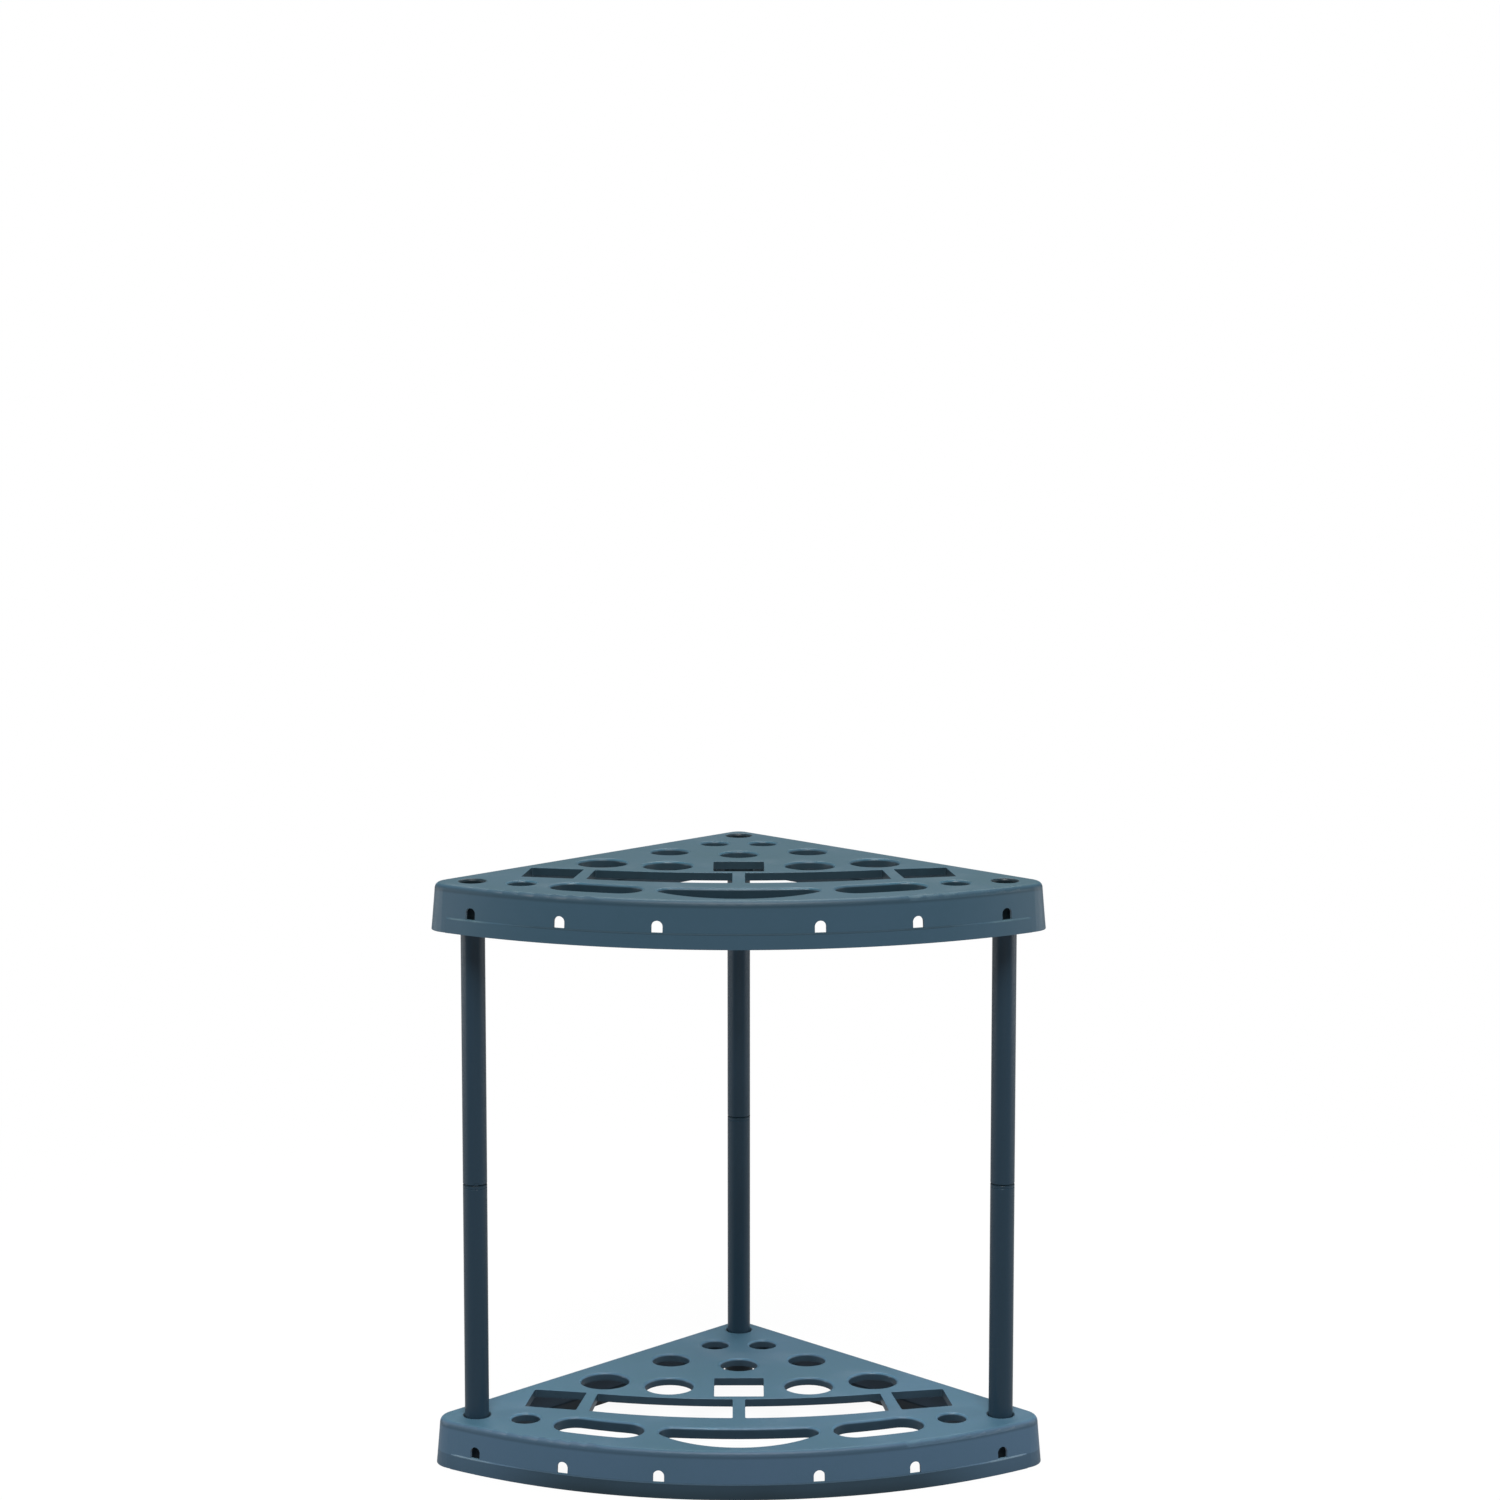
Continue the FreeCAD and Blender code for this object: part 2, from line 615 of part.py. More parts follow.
def tray_openings(body):
    """Collared tool openings, then the socket bosses with their fins and bores."""
    inner = [round_openings(body), square_opening(body)]
    inner += [side_openings(body, name, sign) for name, sign in SIDES]
    groups = (("", inner, "collar_depth"), ("Front", [front_openings(body)], "front_collar_depth"))
    for group, openings, depth in groups:
        collars = outline_faces(body, group + "CollarOutlines", openings, "collar_wall")
        pad(body, group + "Collars", collars, f"{depth} - shell_wall / 2")
    for group, openings, _ in groups:
        outlines = outline_faces(body, group + "OpeningOutlines", openings)
        cut_through(body, group + "ToolOpenings", outlines)
    pad(body, "Gussets", gusset_lines(body), "gusset_height + shell_wall / 8")
    bosses = post_circles(body, "BossCircles", "boss_lift", "socket_bore + 2 * socket_wall")
    pad(body, "Bosses", bosses, "tray_height - boss_lift - shell_wall / 2")
    upper = post_circles(body, "UpperBores", "tray_height - socket_depth", "socket_bore")
    cut_through(body, "UpperSockets", upper)
    lower = post_circles(body, "LowerBores", "lower_socket_depth", "socket_bore")
    bored = cut_through(body, "LowerSockets", lower, reverse=False)
    curved = round_rims(body, "Rims", bored, False, "rim_rounding")
    round_rims(body, "StraightRims", curved, True, "edge_rounding")


def front_band(body):
    """Raised band along the foot of the front skirt, swept about the centre of the front."""
    drawing = Drawing(body, "BandSection", role="YZ_Plane")
    bind(drawing.sketch, "AttachmentOffset.Base.x", "arc_centre_y")
    face = "front_radius + band_proud"
    root = "front_radius - shell_wall / 2"
    shoulder = "(band_height - band_slope)"
    lean = "skirt_flare * band_height / tray_height"
    drawing.polygon("band", (
        (f"-({face})", "0"),
        (f"-({root})", "0"),
        (f"-({root} - {lean})", "band_height"),
        (f"-(front_radius - {lean})", "band_height"),
        (f"-({face} - {lean} * {shoulder} / band_height)", shoulder),
    ))
    section = drawing.finish()
    band = body.newObject("PartDesign::Revolution", "Band")
    band.Profile = section
    band.ReferenceAxis = (section, ["V_Axis"])
    band.Midplane = True
    bind(band, "Angle", "2 * band_angle")
    doc.recompute()
    return section


def front_windows(body, section):
    """Arched windows in the front skirt, repeated about the centre of the front."""
    inside = "(front_radius - window_cut)"
    for name, sign in SIDES:
        drawing = Drawing(body, f"WindowArch_{name}", role="XZ_Plane")
        arch = drawing.sketch
        arch.AttachmentOffset = FreeCAD.Placement(
            FreeCAD.Vector(), FreeCAD.Rotation(FreeCAD.Vector(0, 1, 0), 1))
        bind(arch, "AttachmentOffset.Base.x", f"{sign}{inside} * sin(window_first_angle)")
        bind(arch, "AttachmentOffset.Base.z", f"{inside} * cos(window_first_angle) - arc_centre_y")
        bind(arch, "AttachmentOffset.Rotation.Angle", f"{sign}window_first_angle")
        half = "window_width / 2"
        spring = "band_height + window_rise - window_width / 2"
        low_left = spot(f"-{half}", "band_height")
        low_right = spot(half, "band_height")
        high_right = spot(half, spring)
        high_left = spot(f"-{half}", spring)
        sill = drawing.draw(Part.LineSegment(low_left, low_right))
        right = drawing.draw(Part.LineSegment(low_right, high_right))
        crown = drawing.draw(arc_between(spot("0", spring), high_right, high_left))
        left = drawing.draw(Part.LineSegment(high_left, low_left))
        drawing.relate("Coincident", sill, END, right, START)
        drawing.relate("Coincident", left, END, sill, START)
        drawing.relate("Tangent", right, END, crown, START)
        drawing.relate("Tangent", crown, END, left, START)
        drawing.relate("Vertical", right)
        drawing.relate("Vertical", left)
        drawing.place("sill_left", sill, START, f"-{half}", "band_height")
        drawing.place("sill_right", sill, END, half, "band_height")
        drawing.measure("spring", spring, "DistanceY", ORIGIN, START, crown, CENTRE)
        drawing.finish()
        window = body.newObject("PartDesign::Pocket", f"Window_{name}")
        window.Profile = arch
        window.Reversed = True
        bind(window, "Length", "2 * window_cut")
        doc.recompute()
        row = body.newObject("PartDesign::PolarPattern", f"Windows_{name}")
        row.Originals = [window]
        row.Axis = (section, ["V_Axis"])
        row.Reversed = bool(sign)
        row.Occurrences = WINDOWS_EACH_SIDE
        bind(row, "Angle", f"window_angle_step * {WINDOWS_EACH_SIDE - 1}")
        body.Tip = row
        doc.recompute()


def tray(label):
    """One moulded tray; the rack has two, both the same."""
    body = doc.addObject("PartDesign::Body", label)
    tray_shell(body)
    tray_openings(body)
    front_windows(body, front_band(body))
    return body


def spun_tube(label, section):
    """Tube turned from the section of its wall."""
    body = doc.addObject("PartDesign::Body", label)
    drawing = Drawing(body, "Section", role="XZ_Plane")
    drawing.polygon("wall", section)
    tube = body.newObject("PartDesign::Revolution", "Tube")
    tube.Profile = drawing.finish()
    tube.ReferenceAxis = (drawing.sketch, ["V_Axis"])
    tube.Angle = 360
    doc.recompute()
    return body


def lug_outline(body, name, level, gap, foot):
    """Rectangle facing the front of a tube: the locating lug, or its notch with a gap around."""
    drawing = Drawing(body, name, level, role="XZ_Plane")
    half = f"lug_width / 2 + {gap}"
    low, high = foot
    drawing.polygon("lug", (
        (f"-({half})", low), (half, low), (half, high), (f"-({half})", high)))
    return drawing.finish()


def lower_tube(label):
    """Tube with a drawn-in neck at its top, a shoulder, a fine ring and a locating lug."""
    outer = "tube_diameter / 2"
    bore = "tube_bore / 2"
    body = spun_tube(label, (
        (bore, "0"),
        (outer, "0"),
        (outer, "shank_length - ring_drop - ring_groove"),
        (f"{outer} - ring_groove", "shank_length - ring_drop"),
        (outer, "shank_length - ring_drop + ring_groove"),
        (outer, "shank_length - joint_bevel"),
        (f"{outer} - joint_bevel", "shank_length"),
        ("neck_diameter / 2", "shank_length"),
        ("neck_diameter / 2", "tube_length - neck_bevel"),
        ("neck_diameter / 2 - neck_bevel", "tube_length"),
        ("neck_bore / 2", "tube_length"),
        ("neck_bore / 2", "shank_length"),
        (bore, "shank_length - neck_taper"),
    ))
    foot = ("shank_length - 2 * joint_bevel", "shank_length + lug_height")
    outline = lug_outline(body, "LugOutline", "lug_root", "0", foot)
    pad(body, "Lug", outline, "lug_face - lug_root")
    return body


def upper_tube(label):
    """Plain tube with a bevelled lower end and a notch for the lug."""
    outer = "tube_diameter / 2"
    bore = "tube_bore / 2"
    body = spun_tube(label, (
        (bore, "0"),
        (f"{outer} - joint_bevel", "0"),
        (outer, "joint_bevel"),
        (outer, "tube_length"),
        (bore, "tube_length"),
    ))
    mouth = ("-lug_clearance", "lug_height + lug_clearance")
    outline = lug_outline(body, "NotchOutline", "lug_root", "lug_clearance", mouth)
    cut_through(body, "Notch", outline)
    return body


def stand_tube(body, x, y, level, turn):
    """Put a tube on its post centre and turn it."""
    body.Placement.Rotation = FreeCAD.Rotation(UP, 1)
    bind(body, "Placement.Base.x", x)
    bind(body, "Placement.Base.y", f"{y} - mid_y")
    bind(body, "Placement.Base.z", level)
    bind(body, "Placement.Rotation.Angle", turn)


def check_model(pieces):
    """Stop if any object failed or any piece is not one sound solid."""
    for thing in doc.Objects:
        if "Invalid" in thing.State or "Error" in thing.State:
            raise RuntimeError(f"{thing.Label}: {thing.State}")
    for piece in pieces:
        shape = piece.Shape
        if shape.isNull() or not shape.isValid() or len(shape.Solids) != 1:
            raise RuntimeError(f"{piece.Label} has no sound solid")


def same_again(label, original):
    """Another piece of the same make."""
    body = doc.addObject("PartDesign::Body", label)
    body.BaseFeature = original
    return body


def main():
    """Build the rack and write one file for each piece."""
    fill_sheet()
    moulding = tray("lower_tray")
    pieces = [moulding, same_again("upper_tray", moulding)]
    for body, level in zip(pieces, ("0", "upper_tray_z")):
        bind(body, "Placement.Base.y", "-mid_y")
        bind(body, "Placement.Base.z", level)
    tubes = {"lower": lower_tube("left_lower_tube"), "upper": upper_tube("left_upper_tube")}
    for post, x, y, turn in POSTS:
        for kind, tube in tubes.items():
            label = f"{post}_{kind}_tube"
            body = tube if tube.Label == label else same_again(label, tube)
            stand_tube(body, x, y, f"{kind}_tube_z", turn)
            pieces.append(body)
    doc.recompute()
    check_model(pieces)
    os.makedirs("parts", exist_ok=True)
    for piece in pieces:
        piece.Shape.exportStep(os.path.join("parts", piece.Label + ".step"))
        print(piece.Label, round(piece.Shape.Volume), "mm3")


main()
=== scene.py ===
import math
from functools import reduce
from itertools import cycle

import bpy
from bpy.props import FloatProperty, FloatVectorProperty, PointerProperty
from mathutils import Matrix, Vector


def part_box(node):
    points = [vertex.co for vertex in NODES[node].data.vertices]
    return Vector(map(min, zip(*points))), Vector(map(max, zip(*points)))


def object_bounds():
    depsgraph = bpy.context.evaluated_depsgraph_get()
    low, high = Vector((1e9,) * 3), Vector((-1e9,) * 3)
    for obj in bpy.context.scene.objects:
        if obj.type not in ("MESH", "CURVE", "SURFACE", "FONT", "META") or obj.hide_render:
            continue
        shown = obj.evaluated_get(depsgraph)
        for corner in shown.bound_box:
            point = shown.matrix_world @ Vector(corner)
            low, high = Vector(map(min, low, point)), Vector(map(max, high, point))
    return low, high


bl_info = {
    "name": "Garden Tool Rack",
    "version": (1, 0, 0),
    "blender": (4, 5, 0),
    "location": "View3D > Sidebar > Tool Rack",
    "description": "Finishes, light and camera for a freestanding corner rack for garden tools",
    "category": "Object",
}

# The fixed frame comes first, because the sizes below are read from it.
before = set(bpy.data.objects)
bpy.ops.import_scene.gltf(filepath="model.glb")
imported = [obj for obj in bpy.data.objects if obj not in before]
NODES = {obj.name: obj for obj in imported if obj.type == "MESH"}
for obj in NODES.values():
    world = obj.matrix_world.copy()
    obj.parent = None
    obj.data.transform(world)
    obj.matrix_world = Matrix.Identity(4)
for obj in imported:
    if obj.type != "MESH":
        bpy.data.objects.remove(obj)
CAD_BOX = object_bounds()
MIDDLE = (CAD_BOX[0] + CAD_BOX[1]) / 2
TRAYS = ("lower_tray", "upper_tray")
TRAY_ON_FLOOR = TRAYS[0]
TRAY_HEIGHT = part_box(TRAY_ON_FLOOR)[1].z
TUBES = sorted(name for name in NODES if name.endswith("_tube"))

# A post's axis is the middle of its lower tube, and its joint is the foot of its upper one.
POSTS = [(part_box(name)[0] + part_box(name)[1]) / 2 for name in TUBES if "lower" in name]
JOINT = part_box("left_upper_tube")[0].z

# The front of a tray is one arc, and its two straight sides run at 45 degrees.
FRONT_RADIUS = 0.52
ARC_CENTRE = CAD_BOX[0].y + FRONT_RADIUS
SIDE_REACH = max(abs(vertex.co.x) + vertex.co.y for vertex in NODES[TRAY_ON_FLOOR].data.vertices)

# A mask has soft edges, and each pair below says where an edge starts and where it ends.
# These are leans, from 0 on an upright face to 1 on a level one.
WALL_LEAN = (0.1, 0.6)
ROUNDING_START = (0.22, 0.5)
ROUNDING_END = (0.86, 0.985)
SKIRT_LEAN = (0.75, 0.95)
LEVEL_LEAN = (0.9, 1.0)

# Heights over the foot of a tray
# Painted shade along the foot grows lighter upwards over the first of these, and ends over the
# second
FOOT_SHADE_HEIGHT = (0.0, 0.012)
FOOT_BAND_TOP = (0.0135, 0.0145)
LEDGE_START = (0.0132, 0.0138)
LEDGE_END = (0.0148, 0.0156)
# Painted shade along the shoulder lies between these
SHOULDER_START = (TRAY_HEIGHT - 0.008, TRAY_HEIGHT - 0.0055)
SHOULDER_END = (TRAY_HEIGHT - 0.0035, TRAY_HEIGHT - 0.001)

# Distances from the middle of the rack to its left and right
# Painted shade along the foot fades towards the front corners over this
FOOT_SHADE_FADE = (0.15, 0.27)
# Painted shade on the ledge fades out over the first of these, and its painted highlight lies
# between the last two
LEDGE_SHADE_FADE = (0.19, 0.24)
LEDGE_HIGHLIGHT_START = (0.235, 0.255)
LEDGE_HIGHLIGHT_END = (0.278, 0.285)

# Distances inwards from the outline of a tray, from a post axis, from a tube joint up or down,
# and along the floor from the middle of the rack
INNER_EDGE = (0.009, 0.012)
# Painted shade in the socket mouths reaches this far from a post axis
MOUTH_EDGE = (0.0136, 0.0146)
GROOVE_EDGE = (0.0007, 0.0013)
WHITE_FLOOR_EDGE = (0.5, 1.6)

# Levels of noise at which patches of wear with painted highlight and of dust begin and are full
WEAR_AND_HIGHLIGHT_PATCHES = (-0.12, 0.2)
DUST_PATCHES = (0.0, 0.3)

# Sizes of the cells of each pattern, and the depth of the ripple
DRIFT_CELL = 0.11
STREAK_CELL = 0.012
SPECKLE_CELL = 0.0016
WEAR_AND_HIGHLIGHT_CELL = 0.03
DUST_CELL = 0.055
RIPPLE_CELL = 0.035
RIPPLE_DEPTH = 0.0006

# Scales of the patterns that follow the melt: even in a tray, and narrow and long in a tube
EVEN = (1, 1, 1)
DRAWN_OUT = (6, 6, 0.15)

# Gains on a plastic's own colour, one for all of it or one each for red, green and blue
DEEP_PIGMENT = (0.80, 0.92, 0.84)
PALE_PIGMENT = (1.16, 1.06, 1.14)
# Painted shade on upright faces, the skirts and the tubes
UPRIGHT_SHADE_TINT = (1.15, 0.80, 0.95)
# Painted highlight on the ledge near the front corners
LEDGE_HIGHLIGHT = (3.6, 2.2, 1.8)
# Paler rubbed roundings, partly wear and partly painted highlight
RUBBED_AND_HIGHLIGHT = 1.8
# Painted shade along the shoulder, just below a tray's top
SHOULDER_SHADE = 0.3
# Painted shade on the openings' walls and on the ledge
WALL_AND_LEDGE_SHADE = 0.25
# Painted shade along the foot of the tray on the floor
FOOT_SHADE = 0.2
GROOVE_DIRT = 0.2
# Painted shade in the mouths of the sockets, round the posts
SOCKET_SHADE = 0.12

# Colour of dust, and the greys of the floor where it is seen and where it only returns light
DUST = (0.42, 0.45, 0.45)
PAPER = 0.9
PAPER_BOUNCE = 0.15


class Wire:
    """Output of a shader node that can stand in a sum, so that shader maths reads as a formula."""

    def __init__(self, finish, socket):
        self.finish = finish
        self.socket = socket

    def maths(self, operation, *terms):
        """Math node on one or two terms."""
        node = self.finish.nodes.new("ShaderNodeMath")
        node.operation = operation
        for socket, term in zip(node.inputs, terms):
            self.finish.fill(socket, term)
        return Wire(self.finish, node.outputs[0])

    def __add__(self, other):
        return self.maths("ADD", self, other)

    def __radd__(self, other):
        return self.maths("ADD", other, self)

    def __sub__(self, other):
        return self.maths("SUBTRACT", self, other)

    def __rsub__(self, other):
        return self.maths("SUBTRACT", other, self)

    def __mul__(self, other):
        return self.maths("MULTIPLY", self, other)

    def __rmul__(self, other):
        return self.maths("MULTIPLY", other, self)

    def __pow__(self, other):
        return self.maths("POWER", self, other)

    def __abs__(self):
        return self.maths("ABSOLUTE", self)

    def least(self, other):
        """The smaller of two values."""
        return self.maths("MINIMUM", self, other)


class Finish:
    """Node tree of a material or a world, with one way to add its nodes."""

    def __init__(self, owner, output):
        owner.use_nodes = True
        self.owner = owner
        self.nodes = owner.node_tree.nodes
        self.links = owner.node_tree.links
        self.nodes.clear()
        self.output = self.nodes.new(output)

    def fill(self, socket, value):
        """Link a socket or set its value."""
        if isinstance(value, Wire):
            self.links.new(value.socket, socket)
        else:
            socket.default_value = value

    def add(self, kind, output=None, settings=(), **sockets):
        """Add a node, set it up, fill its sockets, and return one output.

        A socket is named by its identifier in lower case, with _ for a space.
        """
        node = self.nodes.new("ShaderNode" + kind)
        for name, value in dict(settings).items():
            setattr(node, name, value)
        for socket in node.inputs:
            key = socket.identifier.lower().replace(" ", "_")
            if key in sockets:
                self.fill(socket, sockets.pop(key))
        if sockets:
            raise KeyError(f"{kind} has no socket {sorted(sockets)}")
        found = [socket for socket in node.outputs if output in (None, socket.identifier)]
        return Wire(self, found[0])

    def rise(self, value, edge):
        """Smooth rise from 0 to 1 over an edge."""
        start, end = edge
        return self.add(
            "MapRange", settings={"interpolation_type": "SMOOTHSTEP"},
            value=value, from_min=start, from_max=end)

    def fall(self, value, edge):
        """Smooth fall from 1 to 0 over an edge."""
        return 1 - self.rise(value, edge)

    def band(self, value, first_edge, last_edge):
        """1 between two edges and 0 outside them."""
        return self.rise(value, first_edge) * self.fall(value, last_edge)

    def cells(self, place, cell, detail):
        """Noise from about 0 to 1, with cells of a size in metres."""
        return self.add("TexNoise", "Fac", vector=place, scale=1 / cell, detail=detail)

    def noise(self, place, cell, detail):
        """The same noise, from about -0.5 to 0.5."""
        return self.cells(place, cell, detail) - 0.5

    def blend(self, factor, first, second):
        """Colour between two colours."""
        return self.add(
            "Mix", "Result_Color", {"data_type": "RGBA", "clamp_factor": True},
            factor_float=factor, a_color=first, b_color=second)

    def finish_with(self, surface):
        """Link the shader to the output, and return the material or world."""
        self.links.new(surface.socket, self.output.inputs["Surface"])
        return self.owner


def opaque(colour):
    """A colour with its alpha."""
    return (*colour, 1.0)


def grey(level):
    """A grey with its alpha."""
    return opaque((level, level, level))


def tinted(colour, *gains):
    """A colour under one gain, or under one each for red, green and blue, with its alpha."""
    return opaque([min(1.0, channel * gain) for channel, gain in zip(colour, cycle(gains))])


class RackPlastic(bpy.types.PropertyGroup):
    """Colours and surface of the mouldings."""

    lower_tray_colour: FloatVectorProperty(
        name="Lower tray colour", description="Slate blue of the tray on the floor",
        subtype="COLOR", size=3, min=0, max=1, default=(0.058, 0.134, 0.191))
    # Painted shade: the same plastic as the lower tray, made darker
    upper_tray_shaded_colour: FloatVectorProperty(
        name="Upper tray colour", description="Slate blue-green of the raised tray",
        subtype="COLOR", size=3, min=0, max=1, default=(0.035, 0.092, 0.125))
    tube_colour: FloatVectorProperty(
        name="Tube colour", description="Darker slate of the post tubes",
        subtype="COLOR", size=3, min=0, max=1, default=(0.0165, 0.045, 0.065))
    tray_roughness: FloatProperty(
        name="Tray roughness", description="Sheen of the trays, 0 is polished",
        min=0, max=1, default=0.46)
    tube_roughness: FloatProperty(
        name="Tube roughness", description="Sheen of the tubes, 0 is polished",
        min=0, max=1, default=0.36)
    tray_gloss: FloatProperty(
        name="Tray gloss", description="How strongly the trays mirror the light",
        min=0, max=1, default=0.25)
    tube_gloss: FloatProperty(
        name="Tube gloss", description="How strongly the tubes mirror the light",
        min=0, max=1, default=0.2)
    # The paleness the two wear settings scale on the roundings is partly wear and partly painted
    # highlight
    tray_wear_and_highlight: FloatProperty(
        name="Tray wear", description="How far handling has rubbed the roundings of the trays",
        min=0, max=1, default=1.0)
    tube_wear_and_highlight: FloatProperty(
        name="Tube wear", description="How far handling has rubbed the roundings of the tubes",
        min=0, max=1, default=0.8)
    # Strength of the painted shade on the openings, the ledge and the shoulder, and of the painted
    # highlight on the ledge
    painted_light_amount: FloatProperty(
        name="Soil", description="How dirty the openings, the ledge and the shoulder are",
        min=0, max=1, default=0.7)
    grain: FloatProperty(
        name="Grain", description="Size of the fine moulded texture",
        unit="LENGTH", min=0.0002, max=0.01, default=0.0009)
    grain_depth: FloatProperty(
        name="Grain depth", description="Depth of the fine moulded texture",
        unit="LENGTH", min=0, max=0.001, default=0.00003)


class RackStage(bpy.types.PropertyGroup):
    """Floor, light and camera."""

    camera_place: FloatVectorProperty(
        name="Camera place", description="Where the camera stands",
        subtype="TRANSLATION", unit="LENGTH", size=3, default=(0.0, -3.2347, 1.158))
    camera_pitch: FloatProperty(
        name="Camera pitch", description="How far the camera looks down",
        subtype="ANGLE", default=math.radians(5.977))
    camera_turn: FloatProperty(
        name="Camera turn", description="How far the camera is turned to its left",
        subtype="ANGLE", default=math.radians(-0.201))
    camera_lens: FloatProperty(
        name="Lens", description="Focal length in millimetres", min=10, max=300, default=78.26)
    camera_shift: FloatProperty(
        name="Shift", description="Upright lens shift, as a share of the frame",
        min=-0.2, max=0.2, default=-0.08)
    key_power: FloatProperty(
        name="Key light", description="Power of the softbox in front, high up",
        subtype="POWER", unit="POWER", min=0, default=292)
    back_power: FloatProperty(
        name="Back light", description="Power of the softbox behind, high up",
        subtype="POWER", unit="POWER", min=0, default=100)
    front_power: FloatProperty(
        name="Front light", description="Power of the low strip light in front",
        subtype="POWER", unit="POWER", min=0, default=2)
    side_power: FloatProperty(
        name="Side lights", description="Power of the strip lights on the two sides",
        subtype="POWER", unit="POWER", min=0, default=10)
    rim_power: FloatProperty(
        name="Rim lights", description="Power of the strip lights behind on the two sides",
        subtype="POWER", unit="POWER", min=0, default=10)
    room_light: FloatProperty(
        name="Room light", description="Strength of the even light from all round",
        min=0, max=1, default=0.12)
    mirrored_light: FloatProperty(
        name="Mirrored light", description="Brightness of the room where the plastic mirrors it",
        min=0, max=1, default=0.25)
    mirrored_floor: FloatProperty(
        name="Mirrored floor", description="Brightness of the floor where the plastic mirrors it",
        min=0, max=1, default=0.7)
    floor_whiteness: FloatProperty(
        name="Floor whiteness", description="How little of the shadow shows on the floor",
        min=0, max=1, default=0.95)
    floor_radius: FloatProperty(
        name="Floor radius", description="Size of the pale floor",
        unit="LENGTH", min=2, default=14)


class Plastic(Finish):
    """Satin moulded plastic, whose pigment gets one mark of dirt or wear, painted shade or painted
    highlight after another.

    body is the colour so far, and sheen is the roughness so far.
    """

    def __init__(self, name, colour, roughness, foot, stretch):
        super().__init__(bpy.data.materials.new(name), "ShaderNodeOutputMaterial")
        self.colour = colour
        self.place = self.add("TexCoord", "Object")
        self.flow = self.add("Mapping", location=(0, 0, 0), scale=stretch, vector=self.place)
        self.lean = abs(self.add("SeparateXYZ", "Z", vector=self.add("NewGeometry", "Normal")))
        self.height = self.add("SeparateXYZ", "Z", vector=self.place) - foot
        self.across = abs(self.add("SeparateXYZ", "X", vector=self.place))
        self.upright = self.fall(self.lean, SKIRT_LEAN)
        self.inner = self.rise(self.inside_outline(), INNER_EDGE)

        # The pigment drifts slowly along the flow of the melt, and upright faces get painted shade,
        # darker and more violet.
        self.drift = self.noise(self.flow, DRIFT_CELL, detail=3)
        self.streak = self.noise(self.flow, STREAK_CELL, detail=2)
        speckle = self.noise(self.place, SPECKLE_CELL, detail=1)
        tone = 0.5 + self.drift * 0.9 + self.streak * 0.35 + speckle * 0.25
        self.body = self.blend(
            tone, tinted(colour, *DEEP_PIGMENT), tinted(colour, *PALE_PIGMENT))
        self.lay_tint(self.upright * 0.5, *UPRIGHT_SHADE_TINT)
        self.sheen = roughness + self.drift * 0.10 + self.streak * 0.06 + speckle * 0.05

    def inside_outline(self):
        """How far a place lies inside the outline of a tray, in plan."""
        depth = self.add("SeparateXYZ", "Y", vector=self.place)
        from_centre = (self.across * self.across + (depth - ARC_CENTRE) ** 2.0) ** 0.5
        to_side = (SIDE_REACH - self.across - depth) * math.sqrt(0.5)
        return to_side.least(FRONT_RADIUS - from_centre)

    def from_posts(self):
        """Distance in plan from the nearest post axis."""
        level = self.add("VectorMath", "Vector", {"operation": "MULTIPLY"},
                         vector=self.place, vector_001=(1, 1, 0))
        ways = [self.add("VectorMath", "Value", {"operation": "DISTANCE"},
                         vector=level, vector_001=(post.x, post.y, 0)) for post in POSTS]
        return reduce(Wire.least, ways)

    def lay_tint(self, cover, *gains):
        """Lay a shade of the plastic's own colour over it, as far as cover says: a real mark,
        painted shade or painted highlight.
        """
        self.body = self.blend(cover, self.body, tinted(self.colour, *gains))

    def rub_and_highlight_roundings(self, wear):
        """Handling rubs the roundings paler and smoother, in patches; the paleness is partly wear
        and partly painted highlight.
        """
        turning = self.band(self.lean, ROUNDING_START, ROUNDING_END)
        patches = self.rise(self.noise(self.place, WEAR_AND_HIGHLIGHT_CELL, detail=3), WEAR_AND_HIGHLIGHT_PATCHES)
        rubbed = turning * (0.35 + 0.65 * patches) * self.inner * wear
        self.lay_tint(rubbed * 0.55, RUBBED_AND_HIGHLIGHT)
        self.sheen -= rubbed * 0.2

    def shade_shoulder(self, painted_light_amount):
        """Painted shade draws a dark line around a tray, just below its top."""
        shoulder = self.band(self.height, SHOULDER_START, SHOULDER_END) * (1 - self.inner)
        self.lay_tint(shoulder * painted_light_amount * 0.6, SHOULDER_SHADE)

    def settle_dust(self):
        """A little dust settles on level faces."""
        patches = self.rise(self.noise(self.place, DUST_CELL, detail=4), DUST_PATCHES)
        dust = patches * self.rise(self.lean, LEVEL_LEAN) * 0.06
        self.body = self.blend(dust, self.body, opaque(DUST))
        self.sheen += dust * 0.3

    def shade_foot(self):
        """Painted shade darkens the band along the foot, less so near its top and the front
        corners.
        """
        band = self.fall(self.height, FOOT_BAND_TOP) * self.upright
        upwards = 0.95 - self.rise(self.height, FOOT_SHADE_HEIGHT) * 0.15
        sideways = 1 - self.rise(self.across, FOOT_SHADE_FADE) * 0.6
        self.lay_tint(band * (upwards * sideways) * (1.0 + self.drift * 0.3), FOOT_SHADE)

